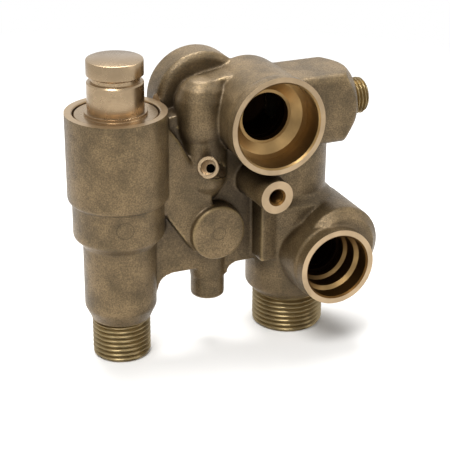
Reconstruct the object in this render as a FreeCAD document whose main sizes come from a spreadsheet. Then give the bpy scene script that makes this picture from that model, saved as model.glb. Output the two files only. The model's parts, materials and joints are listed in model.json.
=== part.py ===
import FreeCAD, Part
import math
import os
import re
import Sketcher
from FreeCAD import Placement, Rotation, Vector

# Flow-operated diverter valve of a combination boiler: a brass casting with two threaded legs,
# two push-in ports, a closed sensor neck and a sprung spool between two seats.
# Frame: origin at the centre of the left leg's lower end, +Z up, ports face -Y. Millimetres.

doc = FreeCAD.newDocument("diverter_valve")
sheet = doc.addObject("Spreadsheet::Sheet", "dims")

SIZES = {
    # Left leg, turned about Z through the origin
    "leg_thread_rad": 10.478, "leg_thread_len": 14.9, "leg_bore_rad": 7.5, "leg_bore_len": 30.0,
    "leg_cored_rad": 7.0, "thread_lead": 0.8,
    "leg_rad": 12.7, "leg_flare": 4.8, "leg_top": 43.8,
    "chamber_rad": 15.99, "chamber_shoulder": 3.4, "chamber_top": 62.8,
    "head_rad": 17.54, "head_slope": 4.6, "head_top": 92.2,
    # Right leg
    "pitch_legs": 66.66, "main_thread_rad": 13.22, "main_thread_len": 14.4, "main_rad": 15.85,
    "main_flare": 2.6, "main_top": 52.0, "riser_rad": 12.8, "riser_top": 95.0,
    "riser_crown": 3.0, "core_tip": 2.5,
    "main_bore_rad": 10.0, "main_bore_len": 16.0, "main_cored_rad": 9.5, "main_bore_top": 94.0,
    # Upper front port, its axis along Y
    "upper_x": 49.9, "upper_z": 87.8, "upper_face": 25.0, "upper_ring_rad": 17.3,
    "upper_ring_len": 3.0, "upper_barrel_rad": 16.6, "upper_back": 10.0, "upper_flare": 2.0,
    "upper_back_edge": 4.0,
    "upper_mouth_rad": 15.1, "upper_mouth_len": 9.2, "upper_seat_rad": 13.1,
    "upper_cone_rad": 9.8, "upper_cone_len": 2.45, "upper_hole_rad": 8.74, "upper_chamber": 5.0,
    # Lower front port
    "lower_x": 71.8, "lower_z": 33.2, "lower_face": 30.0, "lower_ring_rad": 14.07,
    "lower_ring_len": 4.2, "lower_barrel_rad": 14.8, "lower_back": 5.0, "lower_shoulder": 3.0,
    "lower_flare": 1.0,
    "lobe_shift_x": 4.8, "lobe_shift_z": 5.0, "lobe_rad": 14.4,
    "lower_mouth_rad": 11.67, "lower_mouth_len": 6.0, "lower_seat_rad": 10.4,
    "lower_seat_len": 6.5, "lower_step_rad": 9.3, "lower_step_len": 4.5, "lower_hole_rad": 8.1,
    "mouth_chamfer": 0.6,
    # Rear port, in the round head between the left leg and the upper port
    "rear_x": 33.75, "rear_z": 90.6, "rear_rad": 17.0, "rear_front": -4.0, "rear_face": 14.5,
    "rear_mouth_rad": 11.7, "rear_mouth_len": 6.5, "rear_hole_rad": 6.0, "rear_hole_front": -0.5,
    "rear_edge": 1.5, "rear_cone_len": 1.5,
    # Upright duct in front of the round head
    "duct_x": 31.0, "duct_y": 2.5, "duct_rad": 8.0, "duct_bore_rad": 5.0,
    "duct_foot": 57.0, "duct_taper": 6.0, "duct_crown": 96.0, "duct_rise": 5.0,
    "duct_bore_foot": 63.0, "saddle_face": 6.5, "saddle_foot": 80.0, "saddle_top": 102.0,
    # Cross passages
    "upper_link_z": 74.0, "upper_link_y": 4.0, "upper_link_rad": 5.0, "link_wall": 2.5,
    "lower_link_y": 4.5, "lower_link_rad": 5.5,
    # Side branch
    "branch_y": 6.4, "branch_z": 88.4, "branch_half": 12.5, "branch_start": 58.0,
    "branch_end": 83.5, "branch_round": 3.0, "branch_slope": 7.0,
    "branch_corner_rad": 18.75, "branch_lip": 1.0,
    "stub_thread_rad": 6.58, "stub_len": 7.95, "stub_bore_rad": 3.6,
    # Screw boss under the upper port
    "fix_x": 49.6, "fix_z": 61.9, "fix_face": 25.0, "fix_rad": 5.85, "fix_root_rad": 6.6,
    "fix_hole_rad": 2.5, "fix_hole_len": 12.0, "fix_chamfer": 0.5,
    # Blind boss, peg and webs
    "boss_x": 33.75, "boss_z": 45.2, "boss_rad": 10.0, "boss_face": 9.6, "boss_edge": 0.9,
    "mark_rad": 2.4, "mark_half": 0.3, "mark_depth": 0.3,
    "peg_rad": 6.0, "peg_root_rad": 6.3, "peg_foot": 16.9, "peg_edge": 0.6,
    "web_face": 8.2, "web_root_x": 12.0, "brace_top": 86.0, "brace_top_x": 16.0,
    "brace_knee_x": 19.5, "brace_knee_z": 81.4, "brace_boss_z": 58.6, "brace_lean": 1.8,
    "brace_foot_x": 15.6, "brace_foot_z": 52.9, "brace_root_z": 61.0, "brace_drop": 7.2,
    "plate_face": 4.0, "plate_back": 3.0, "plate_foot": 29.3, "plate_arc_rad": 5.8,
    "peg_arc_rad": 4.0, "column_face": 12.0, "column_foot": 31.5,
    # Left leg cavity
    "shelf_rise": 2.2, "cage_bore_rad": 12.5, "cage_len": 14.0, "upper_seat_len": 3.0,
    "room_rad": 13.5, "gland_len": 9.2, "gland_bore_rad": 15.04, "gland_entry": 0.4,
    # Gland with the closed neck
    "gland_gap": 0.24, "flange_len": 3.4, "gland_body_rad": 14.98, "neck_rad": 9.83,
    "neck_len": 18.6, "neck_edge": 0.5, "neck_step_rad": 10.9, "neck_step_len": 0.5,
    "clip_drop": 5.25, "clip_width": 2.4, "clip_rad": 8.5, "clip_slope": 0.9,
    "neck_bore_rad": 6.2, "neck_wall": 2.3, "bush_bore_rad": 7.2, "bush_len": 5.0,
    "gland_seal_drop": 5.8, "gland_groove": 2.4, "seal_wire": 1.0, "seal_gap": 0.02,
    # Seats and cage
    "seat_fit": 0.05, "seat_bore_rad": 6.5, "lip_rad": 7.7, "lip_len": 0.8, "lip_flare": 0.5,
    "seat_ring_len": 4.0, "seat_groove": 1.8, "seat_wire": 0.72, "upper_flange_len": 1.5,
    "cage_wall": 1.6, "cage_window": 9.6, "cage_rim": 1.8, "snap_wire": 1.1, "snap_depth": 0.9,
    "snap_play": 0.1, "snap_reach": 1.6, "snap_opening": 9.0,
    # Spool
    "stem_rad": 2.5, "stem_edge": 0.5, "stem_tail": 2.6, "run_gap": 0.05, "travel": 3.8,
    "end_room": 1.3, "seat_gap": 0.2, "disc_len": 2.0, "disc_rad": 8.7, "disc_edge": 0.4,
    "plate_len": 1.2, "plate_rad": 8.0, "plate_edge": 0.2, "sleeve_rad": 4.2,
    "collar_rad": 4.0, "collar_len": 1.2, "clip_len": 0.6, "clip_ring_rad": 4.3,
    "clip_neck": 0.55, "clip_mouth": 3.4, "guide_len": 2.6, "guide_rim": 0.9,
    "guide_hub_rad": 3.9, "guide_leg": 1.2, "guide_rise": 0.2,
    # Spring and magnet
    "spring_rad": 5.0, "spring_wire": 0.45, "spring_turns": 6.0, "spring_play": 0.15,
    "spring_ease": 0.02, "washer_len": 1.0, "washer_rad": 5.7, "washer_rise": 0.8,
    "magnet_rad": 3.9, "magnet_len": 7.6, "magnet_edge": 0.3, "magnet_drop": 1.4,
    "magnet_lift": 2.8,
    # Sensing nipple, its axis measured from its seat on the duct
    "nipple_x": 27.2, "nipple_y": 16.05, "nipple_z": 73.4, "nipple_len": 11.5,
    "nipple_rad": 3.0, "nipple_collar_rad": 3.9, "nipple_collar_len": 2.6,
    "nipple_bore_rad": 1.6, "nipple_mouth_rad": 2.8, "nipple_mouth_len": 1.6,
    "nipple_step": 0.5, "nipple_root": 3.5, "tap_len": 18.5,
    # How far a cutter runs past the faces it opens
    "over": 1.0,
}

# Levels along the left leg that follow from the sizes above
LEVELS = {
    "seat_shelf": "=leg_top + shelf_rise",
    "upper_seat_foot": "=seat_shelf + seat_ring_len + cage_len",
    "seat_step": "=upper_seat_foot + upper_seat_len",
    "snap_foot": "=seat_step + upper_flange_len",
    "lower_link_z": "=seat_shelf + seat_ring_len + cage_len / 2",
    "gland_shelf": "=head_top - gland_len",
    "gland_seal_z": "=head_top - gland_seal_drop",
    "neck_top": "=head_top + neck_len",
    "clip_top": "=neck_top - clip_drop",
    "clip_foot": "=clip_top - clip_width",
    "guide_foot": "=seat_shelf + guide_rise",
    "stem_foot": "=seat_shelf - stem_tail",
    "stem_top": "=neck_top - neck_wall - travel - end_room",
    "magnet_foot": "=stem_top - magnet_drop - magnet_len",
    "spring_foot": "=magnet_foot - magnet_lift",
}

for row, (alias, value) in enumerate({**SIZES, **LEVELS}.items(), start=1):
    sheet.set(f"A{row}", alias)
    sheet.set(f"B{row}", str(value))
    sheet.setAlias(f"B{row}", alias)
doc.recompute()

UPRIGHT = Rotation()
BACKWARD = Rotation(Vector(1, 0, 0), -90)   # local Z along +Y
FORWARD = Rotation(Vector(1, 0, 0), 90)     # local Z along -Y
RIGHTWARD = Rotation(Vector(0, 1, 0), 90)   # local Z along +X


def bound(text):
    """Turn a formula of sheet names into a FreeCAD expression."""
    return re.sub(r"[a-z][a-z_0-9]*", lambda name: "dims." + name.group(0), text)


def bind(item, **formulas):
    """Bind properties of an object to formulas of sheet names."""
    for name, text in formulas.items():
        item.setExpression(name, bound(text))
    return item


def place(item, turn, spot):
    """Turn an object and bind its position to three formulas."""
    item.Placement = Placement(Vector(), turn)
    for axis, text in zip("xyz", spot):
        item.setExpression(f"Placement.Base.{axis}", bound(text))
    return item


def origin_plane(body, role):
    """Return one of a body's own origin planes."""
    return next(item for item in body.Origin.OriginFeatures if item.Role == role)


def outline(body, name, role, points):
    """Sketch a closed polygon whose corners are bound to formulas."""
    sketch = body.newObject("Sketcher::SketchObject", name)
    sketch.AttachmentSupport = [(origin_plane(body, role), "")]
    sketch.MapMode = "FlatFace"
    count = len(points)
    rough = [Vector(index + 1.0, (index * index) % 7 + 1.0, 0) for index in range(count)]
    for index in range(count):
        sketch.addGeometry(Part.LineSegment(rough[index], rough[(index + 1) % count]), False)
    for index in range(count):
        sketch.addConstraint(Sketcher.Constraint("Coincident", index, 2, (index + 1) % count, 1))
    for index, corner in enumerate(points):
        for kind, text, start in zip(("DistanceX", "DistanceY"), corner, rough[index]):
            if text == "0":
                line = -2 if kind == "DistanceX" else -1
                sketch.addConstraint(Sketcher.Constraint("PointOnObject", index, 1, line))
                continue
            number = sketch.addConstraint(Sketcher.Constraint(kind, -1, 1, index, 1, start))
            sketch.setExpression(f"Constraints[{number}]", bound(text))
    return sketch


def turned(name, points, turn=UPRIGHT, spot=("0", "0", "0")):
    """Turn a piece: a profile of (radius, height) corners revolved about its own Z."""
    body = doc.addObject("PartDesign::Body", name)
    profile = outline(body, name + "_profile", "XZ_Plane", points)
    spin = body.newObject("PartDesign::Revolution", name + "_turning")
    spin.Profile = profile
    spin.ReferenceAxis = (profile, ["V_Axis"])
    spin.Angle = 360
    return place(body, turn, spot)


def slab(name, points, front, back):
    """Pad an outline drawn in X and Z, from front to back along Y."""
    body = doc.addObject("PartDesign::Body", name)
    profile = outline(body, name + "_profile", "XZ_Plane", points)
    pad = body.newObject("PartDesign::Pad", name + "_pad")
    pad.Profile = profile
    pad.Reversed = True
    bind(pad, Length=f"{back} - {front}")
    return place(body, UPRIGHT, ("0", front, "0"))


def rod(name, radius, length, turn, spot):
    """Place a plain cylinder."""
    item = doc.addObject("Part::Cylinder", name)
    bind(item, Radius=radius, Height=length)
    return place(item, turn, spot)


def block(name, size, spot):
    """Place a plain box."""
    item = doc.addObject("Part::Box", name)
    bind(item, Length=size[0], Width=size[1], Height=size[2])
    return place(item, UPRIGHT, spot)


def joined(name, pieces):
    """Fuse pieces into one solid."""
    item = doc.addObject("Part::MultiFuse", name)
    item.Shapes = pieces
    return item


def in_turn(kind, base, tools):
    """Fuse or cut tools one after another, which keeps a busy casting sound."""
    for tool in tools:
        step = doc.addObject(kind, f"with_{tool.Label}")
        step.Base = base
        step.Tool = tool
        base = step
    return base


def cut(name, base, tool):
    """Cut one shape out of another."""
    item = doc.addObject("Part::Cut", name)
    item.Base = base
    item.Tool = tool
    return item


def dome(radius, level, rise):
    """Corners of a rounded crown over a level."""
    angles = [math.radians(degrees) for degrees in (20, 40, 60, 78)]
    return [(f"{radius} * {math.cos(angle):.4f}", f"{level} + {rise} * {math.sin(angle):.4f}")
            for angle in angles]


def hollow(across, below, radius):
    """Corners of a concave quarter between an upright and a lower edge."""
    shares = [(1 - math.cos(math.radians(degrees)), 1 - math.sin(math.radians(degrees)))
              for degrees in (0, 22.5, 45, 67.5, 90)]
    return [(f"{across} + {radius} * {over:.4f}", f"{below} - {radius} * {down:.4f}")
            for over, down in shares]


def cast_outside():
    """The casting's outside: two legs, their ports, bosses, webs and passages."""
    leg = turned("left_leg", [
        ("0", "0"), ("leg_thread_rad - thread_lead", "0"), ("leg_thread_rad", "thread_lead"),
        ("leg_thread_rad", "leg_thread_len"), ("leg_rad", "leg_thread_len + leg_flare"),
        ("leg_rad", "leg_top"), ("chamber_rad", "leg_top + chamber_shoulder"),
        ("chamber_rad", "chamber_top"), ("head_rad", "chamber_top + head_slope"),
        ("head_rad", "head_top"), ("0", "head_top")])
    main = turned("right_leg", [
        ("0", "0"), ("main_thread_rad - thread_lead", "0"), ("main_thread_rad", "thread_lead"),
        ("main_thread_rad", "main_thread_len"),
        ("main_rad", "main_thread_len + main_flare"), ("main_rad", "main_top"),
        ("riser_rad", "main_top + main_rad - riser_rad"), ("riser_rad", "riser_top - riser_crown"),
        ("riser_rad - riser_crown", "riser_top"), ("0", "riser_top")], UPRIGHT, ("pitch_legs", "0", "0"))
    upper = turned("upper_port", [
        ("0", "0"), ("upper_ring_rad", "0"), ("upper_ring_rad", "upper_ring_len"),
        ("upper_barrel_rad", "upper_ring_len + upper_flare"),
        ("upper_barrel_rad", "upper_face + upper_back - upper_back_edge"),
        ("upper_barrel_rad - upper_back_edge", "upper_face + upper_back"),
        ("0", "upper_face + upper_back")],
        BACKWARD, ("upper_x", "-upper_face", "upper_z"))
    lower = turned("lower_port", [
        ("0", "0"), ("lower_ring_rad", "0"), ("lower_ring_rad", "lower_ring_len"),
        ("lower_barrel_rad", "lower_ring_len + lower_flare"),
        ("lower_barrel_rad", "lower_face + lower_back"),
        ("0", "lower_face + lower_back")], BACKWARD, ("lower_x", "-lower_face", "lower_z"))
    lobe = turned("lower_lobe", [
        ("0", "0"), ("lobe_rad - lower_shoulder", "0"), ("lobe_rad", "lower_shoulder"),
        ("lobe_rad", "lower_face + lower_back - lower_ring_len - lower_shoulder"),
        ("lobe_rad - lower_shoulder", "lower_face + lower_back - lower_ring_len"),
        ("0", "lower_face + lower_back - lower_ring_len")], BACKWARD,
        ("lower_x + lobe_shift_x", "lower_ring_len - lower_face", "lower_z + lobe_shift_z"))
    head = turned("rear_head", [
        ("0", "0"), ("rear_rad - rear_edge", "0"), ("rear_rad", "rear_edge"),
        ("rear_rad", "rear_front + rear_face"), ("0", "rear_front + rear_face")],
        BACKWARD, ("rear_x", "-rear_front", "rear_z"))
    duct = turned("duct", [
        ("0", "duct_foot"), ("duct_rad / 2", "duct_foot"), ("duct_rad", "duct_foot + duct_taper"),
        ("duct_rad", "duct_crown"), *dome("duct_rad", "duct_crown", "duct_rise"),
        ("0", "duct_crown + duct_rise")],
        UPRIGHT, ("duct_x", "-duct_y", "0"))
    upper_link = rod("upper_link", "upper_link_rad + link_wall", "duct_x", RIGHTWARD,
                     ("0", "upper_link_y", "upper_link_z"))
    lower_link = rod("lower_link", "lower_link_rad + link_wall", "pitch_legs", RIGHTWARD,
                     ("0", "lower_link_y", "lower_link_z"))
    fixing = turned("screw_boss", [
        ("0", "0"), ("fix_rad", "0"), ("fix_root_rad", "fix_face"), ("0", "fix_face")],
        BACKWARD, ("fix_x", "-fix_face", "fix_z"))
    boss = turned("blind_boss", [
        ("0", "0"), ("mark_rad - mark_half", "0"), ("mark_rad", "mark_depth"),
        ("mark_rad + mark_half", "0"), ("boss_rad - boss_edge", "0"), ("boss_rad", "boss_edge"),
        ("boss_rad", "boss_face + plate_back"), ("0", "boss_face + plate_back")],
        BACKWARD, ("boss_x", "-boss_face", "boss_z"))
    peg = turned("peg", [
        ("0", "peg_foot"), ("peg_rad - peg_edge", "peg_foot"), ("peg_rad", "peg_foot + peg_edge"),
        ("peg_rad", "plate_foot - peg_arc_rad - peg_edge"),
        ("peg_root_rad", "plate_foot - peg_arc_rad"),
        ("peg_root_rad", "boss_z"), ("0", "boss_z")], UPRIGHT, ("boss_x", "0", "0"))
    return [leg, main, upper, lower, lobe, head, duct, upper_link, lower_link, fixing, boss, peg,
            *webs(), *branch()]


def webs():
    """Flat webs that tie the legs together."""
    brace = slab("brace", [
        ("web_root_x", "brace_top"), ("brace_top_x", "brace_top"),
        ("brace_knee_x", "brace_knee_z"), ("boss_x - brace_lean", "brace_boss_z"),
        ("boss_x", "boss_z"), ("boss_x - boss_rad + brace_lean", "boss_z - brace_drop"),
        ("brace_foot_x", "brace_foot_z"), ("web_root_x", "brace_root_z")],
        "-web_face", "plate_back")
    plate = slab("plate", [
        ("0", "plate_foot - plate_arc_rad"), *hollow("leg_rad", "plate_foot", "plate_arc_rad"),
        ("boss_x", "plate_foot"), ("boss_x", "plate_foot - peg_arc_rad"),
        *hollow("boss_x + peg_rad", "plate_foot", "peg_arc_rad"),
        ("pitch_legs", "plate_foot"), ("pitch_legs", "upper_z"), ("rear_x", "rear_z"),
        ("0", "brace_top")], "-plate_face", "plate_back")
    column = slab("column", [
        ("upper_x", "column_foot"), ("pitch_legs", "column_foot"), ("pitch_legs", "upper_z"),
        ("upper_x", "upper_z")], "-column_face", "plate_back")
    saddle = slab("saddle", [
        ("duct_x", "saddle_foot"), ("upper_x", "saddle_foot"), ("upper_x", "saddle_top"),
        ("upper_x - duct_rad", "saddle_top"), ("duct_x", "saddle_top - 0.25 * duct_rad")],
        "-saddle_face", "-rear_front")
    return [brace, plate, column, saddle]


def branch():
    """Square side branch with its small threaded stub, along +X."""
    body = doc.addObject("PartDesign::Body", "side_branch")
    profile = outline(body, "side_branch_profile", "YZ_Plane", [
        ("-branch_half", "-branch_half"), ("branch_half", "-branch_half"),
        ("branch_half", "branch_half"), ("-branch_half", "branch_half")])
    doc.recompute()
    pad = body.newObject("PartDesign::Pad", "side_branch_pad")
    pad.Profile = profile
    bind(pad, Length="branch_end - branch_start")
    doc.recompute()
    long_edges = [f"Edge{number}" for number, edge in enumerate(pad.Shape.Edges, start=1)
                  if abs(edge.tangentAt(edge.FirstParameter).x) > 0.9]
    soft = body.newObject("PartDesign::Fillet", "side_branch_rounding")
    soft.Base = (pad, long_edges)
    bind(soft, Radius="branch_round")
    doc.recompute()
    place(body, UPRIGHT, ("branch_start", "-branch_y", "branch_z"))
    envelope = turned("side_branch_envelope", [
        ("0", "0"), ("branch_corner_rad", "0"),
        ("branch_corner_rad", "branch_end - branch_start - branch_slope"),
        ("branch_half - branch_lip", "branch_end - branch_start"),
        ("0", "branch_end - branch_start")],
        RIGHTWARD, ("branch_start", "-branch_y", "branch_z"))
    bar = doc.addObject("Part::MultiCommon", "side_branch_bar")
    bar.Shapes = [body, envelope]
    stub = turned("stub", [
        ("0", "0"), ("stub_thread_rad", "0"),
        ("stub_thread_rad", "stub_len - thread_lead"),
        ("stub_thread_rad - thread_lead", "stub_len"), ("0", "stub_len")],
        RIGHTWARD, ("branch_end", "-branch_y", "branch_z"))
    return [bar, stub]


def cast_inside():
    """Everything bored out of the casting."""
    cavity = turned("left_cavity", [
        ("0", "-over"), ("leg_bore_rad", "-over"), ("leg_bore_rad", "leg_bore_len"),
        ("leg_cored_rad", "leg_bore_len + 2 * (leg_bore_rad - leg_cored_rad)"),
        ("leg_cored_rad", "seat_shelf"),
        ("cage_bore_rad", "seat_shelf"), ("cage_bore_rad", "seat_step"),
        ("room_rad", "seat_step"), ("room_rad", "gland_shelf"),
        ("gland_bore_rad", "gland_shelf"), ("gland_bore_rad", "head_top - gland_entry"),
        ("gland_bore_rad + gland_entry", "head_top"),
        ("gland_bore_rad + gland_entry", "head_top + over"), ("0", "head_top + over")])
    snap_groove = turned("snap_groove", [
        ("room_rad - over", "snap_foot"), ("room_rad + snap_depth", "snap_foot"),
        ("room_rad + snap_depth", "snap_foot + snap_wire + snap_play"),
        ("room_rad - over", "snap_foot + snap_wire + snap_play")])
    riser = turned("right_bore", [
        ("0", "-over"), ("main_bore_rad", "-over"), ("main_bore_rad", "main_bore_len"),
        ("main_cored_rad", "main_bore_len + 2 * (main_bore_rad - main_cored_rad)"),
        ("main_cored_rad", "main_bore_top"), ("0", "main_bore_top + core_tip")],
        UPRIGHT, ("pitch_legs", "0", "0"))
    upper = turned("upper_socket", [
        ("0", "-over"), ("upper_mouth_rad + mouth_chamfer", "-over"),
        ("upper_mouth_rad + mouth_chamfer", "0"), ("upper_mouth_rad", "mouth_chamfer"),
        ("upper_mouth_rad", "upper_mouth_len"), ("upper_seat_rad", "upper_mouth_len"),
        ("upper_cone_rad", "upper_mouth_len + upper_cone_len"),
        ("upper_hole_rad", "upper_mouth_len + upper_cone_len"),
        ("upper_hole_rad", "upper_face + upper_chamber"),
        ("0", "upper_face + upper_chamber + core_tip")],
        BACKWARD, ("upper_x", "-upper_face", "upper_z"))
    lower = turned("lower_socket", [
        ("0", "-over"), ("lower_mouth_rad + mouth_chamfer", "-over"),
        ("lower_mouth_rad + mouth_chamfer", "0"), ("lower_mouth_rad", "mouth_chamfer"),
        ("lower_mouth_rad", "lower_mouth_len"),
        ("lower_seat_rad", "lower_mouth_len + lower_mouth_rad - lower_seat_rad"),
        ("lower_seat_rad", "lower_mouth_len + lower_seat_len"),
        ("lower_step_rad", "lower_mouth_len + lower_seat_len + lower_seat_rad - lower_step_rad"),
        ("lower_step_rad", "lower_mouth_len + lower_seat_len + lower_step_len"),
        ("lower_hole_rad", "lower_mouth_len + lower_seat_len + lower_step_len"),
        ("lower_hole_rad", "lower_face"), ("0", "lower_face + core_tip")],
        BACKWARD, ("lower_x", "-lower_face", "lower_z"))
    rear = turned("rear_socket", [
        ("0", "-over"), ("rear_mouth_rad + mouth_chamfer", "-over"),
        ("rear_mouth_rad + mouth_chamfer", "0"), ("rear_mouth_rad", "mouth_chamfer"),
        ("rear_mouth_rad", "rear_mouth_len"), ("rear_hole_rad", "rear_mouth_len + rear_cone_len"),
        ("rear_hole_rad", "rear_face + rear_hole_front"), ("0", "rear_face + rear_hole_front")],
        FORWARD, ("rear_x", "rear_face", "rear_z"))
    duct = rod("duct_bore", "duct_bore_rad", "rear_z - duct_bore_foot", UPRIGHT,
               ("duct_x", "-duct_y", "duct_bore_foot"))
    upper_link = rod("upper_link_bore", "upper_link_rad", "duct_x", RIGHTWARD,
                     ("0", "upper_link_y", "upper_link_z"))
    lower_link = rod("lower_link_bore", "lower_link_rad", "pitch_legs", RIGHTWARD,
                     ("0", "lower_link_y", "lower_link_z"))
    branch_bore = rod("branch_bore", "stub_bore_rad", "branch_end + stub_len + over - pitch_legs",
                      RIGHTWARD, ("pitch_legs", "-branch_y", "branch_z"))
    fixing = turned("fixing_hole", [
        ("0", "-over"), ("fix_hole_rad + fix_chamfer", "-over"),
        ("fix_hole_rad + fix_chamfer", "0"), ("fix_hole_rad", "fix_chamfer"),
        ("fix_hole_rad", "fix_hole_len"),
        ("0", "fix_hole_len + fix_hole_rad / 2")], BACKWARD, ("fix_x", "-fix_face", "fix_z"))
    tapping = nipple_rod("tapping", "nipple_bore_rad", "nipple_len", "tap_len")
    socket = nipple_rod("nipple_socket", "nipple_rad", "nipple_collar_len", "nipple_len + nipple_root")
    return [cavity, snap_groove, riser, upper, lower, rear, duct, upper_link, lower_link,
            branch_bore, fixing, tapping, socket]


# The nipple leans out of the duct's right front side
NIPPLE_WAY = Vector(-0.55, -0.70, 0.45).normalize()
NIPPLE_TURN = Rotation(Vector(0, 0, 1), NIPPLE_WAY)


def along_nipple(item, depth):
    """Place an object on the nipple's axis, a depth below the nipple's open end."""
    item.Placement = Placement(Vector(), NIPPLE_TURN)
    for axis, start, way in zip("xyz", ("nipple_x", "-nipple_y", "nipple_z"), NIPPLE_WAY):
        item.setExpression(f"Placement.Base.{axis}", bound(f"{start} - ({depth}) * ") + f"({way:.5f})")
    return item


def nipple_rod(name, radius, start, end):
    """A cylinder on the nipple's axis between two depths below its open end."""
    item = doc.addObject("Part::Cylinder", name)
    bind(item, Radius=radius, Height=f"{end} - {start}")
    return along_nipple(item, end)


def make_valve_body():
    """The brass casting with its machined bores."""
    first, *others = cast_outside()
    outside = in_turn("Part::Fuse", first, others)
    casting = in_turn("Part::Cut", outside, cast_inside())
    casting.Label = "valve_body"
    return casting


def make_gland():
    """Screwed-in gland whose closed neck takes the sensor clip."""
    return turned("gland", [
        ("bush_bore_rad", "gland_shelf"), ("gland_body_rad", "gland_shelf"),
        ("gland_body_rad", "gland_seal_z - gland_groove / 2"),
        ("gland_bore_rad - 2 * seal_wire", "gland_seal_z - gland_groove / 2"),
        ("gland_bore_rad - 2 * seal_wire", "gland_seal_z + gland_groove / 2"),
        ("gland_body_rad", "gland_seal_z + gland_groove / 2"),
        ("gland_body_rad", "head_top - flange_len"),
        ("gland_bore_rad - gland_gap", "head_top - flange_len"),
        ("gland_bore_rad - gland_gap", "head_top"), ("neck_step_rad", "head_top"),
        ("neck_step_rad", "head_top + neck_step_len"), ("neck_rad", "head_top + neck_step_len"),
        ("neck_rad", "clip_foot - neck_edge"), ("neck_rad - neck_edge", "clip_foot"),
        ("clip_rad", "clip_foot"), ("clip_rad", "clip_top - clip_slope"),
        ("neck_rad", "clip_top"), ("neck_rad", "neck_top - neck_edge"),
        ("neck_rad - neck_edge", "neck_top"), ("0", "neck_top"), ("0", "neck_top - neck_wall"),
        ("neck_bore_rad", "neck_top - neck_wall"), ("neck_bore_rad", "gland_shelf + bush_len"),
        ("bush_bore_rad", "gland_shelf + bush_len")])


def make_ring_seal(name, inner, outer, level):
    """O-ring between two radii, centred on a level."""
    ring = doc.addObject("Part::Torus", name)
    bind(ring, Radius1=f"({inner} + {outer}) / 2", Radius2=f"({outer} - ({inner})) / 2 - seal_gap")
    return place(ring, UPRIGHT, ("0", "0", level))


def make_guide_bush():
    """Plain bush in the gland that guides the stem."""
    return turned("guide_bush", [
        ("stem_rad + run_gap", "gland_shelf"), ("bush_bore_rad", "gland_shelf"),
        ("bush_bore_rad", "gland_shelf + bush_len"), ("stem_rad + run_gap", "gland_shelf + bush_len")])


def seal_groove(level):
    """Corners of the groove for an O-ring round a seat, centred on a level."""
    return [(f"cage_bore_rad - {depth}", f"{level} {side} seat_groove / 2")
            for depth, side in (("seat_fit", "-"), ("2 * seat_wire", "-"), ("2 * seat_wire", "+"),
                                ("seat_fit", "+"))]


def make_seats():
    """Lower and upper seat rings with their raised lips facing each other."""
    lower = turned("lower_seat", [
        ("seat_bore_rad", "seat_shelf"), ("cage_bore_rad - seat_fit", "seat_shelf"),
        *seal_groove("seat_shelf + seat_ring_len / 2"),
        ("cage_bore_rad - seat_fit", "seat_shelf + seat_ring_len"),
        ("lip_rad + lip_flare", "seat_shelf + seat_ring_len"),
        ("lip_rad", "seat_shelf + seat_ring_len + lip_len"),
        ("seat_bore_rad", "seat_shelf + seat_ring_len + lip_len")])
    upper = turned("upper_seat", [
        ("seat_bore_rad", "upper_seat_foot - lip_len"), ("lip_rad", "upper_seat_foot - lip_len"),
        ("lip_rad + lip_flare", "upper_seat_foot"), ("cage_bore_rad - seat_fit", "upper_seat_foot"),
        *seal_groove("upper_seat_foot + upper_seat_len / 2"),
        ("cage_bore_rad - seat_fit", "seat_step"), ("room_rad - seat_fit", "seat_step"),
        ("room_rad - seat_fit", "snap_foot"), ("seat_bore_rad", "snap_foot")])
    return [lower, upper]


def make_cage():
    """Windowed spacer that holds the two seats apart."""
    wall = turned("cage_wall_ring", [
        ("cage_bore_rad - seat_fit - cage_wall", "seat_shelf + seat_ring_len"),
        ("cage_bore_rad - seat_fit", "seat_shelf + seat_ring_len"),
        ("cage_bore_rad - seat_fit", "upper_seat_foot"),
        ("cage_bore_rad - seat_fit - cage_wall", "upper_seat_foot")])
    span = "2 * cage_bore_rad"
    level = "seat_shelf + seat_ring_len + cage_rim"
    tall = "upper_seat_foot - seat_shelf - seat_ring_len - 2 * cage_rim"
    across = block("window_x", (span, "cage_window", tall),
                   ("-cage_bore_rad", "-cage_window / 2", level))
    along = block("window_y", ("cage_window", span, tall),
                  ("-cage_window / 2", "-cage_bore_rad", level))
    return cut("seat_cage", wall, joined("cage_windows", [across, along]))


def make_snap_ring():
    """Open ring that locks the upper seat in its groove."""
    ring = turned("snap_ring_blank", [
        ("room_rad - snap_reach", "snap_foot"), ("room_rad + snap_depth - snap_play", "snap_foot"),
        ("room_rad + snap_depth - snap_play", "snap_foot + snap_wire"),
        ("room_rad - snap_reach", "snap_foot + snap_wire")])
    opening = block("snap_ring_opening", ("2 * room_rad", "snap_opening", "3 * snap_wire"),
                    ("-2 * room_rad", "-snap_opening / 2", "snap_foot - snap_wire"))
    return cut("snap_ring", ring, opening)


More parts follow.
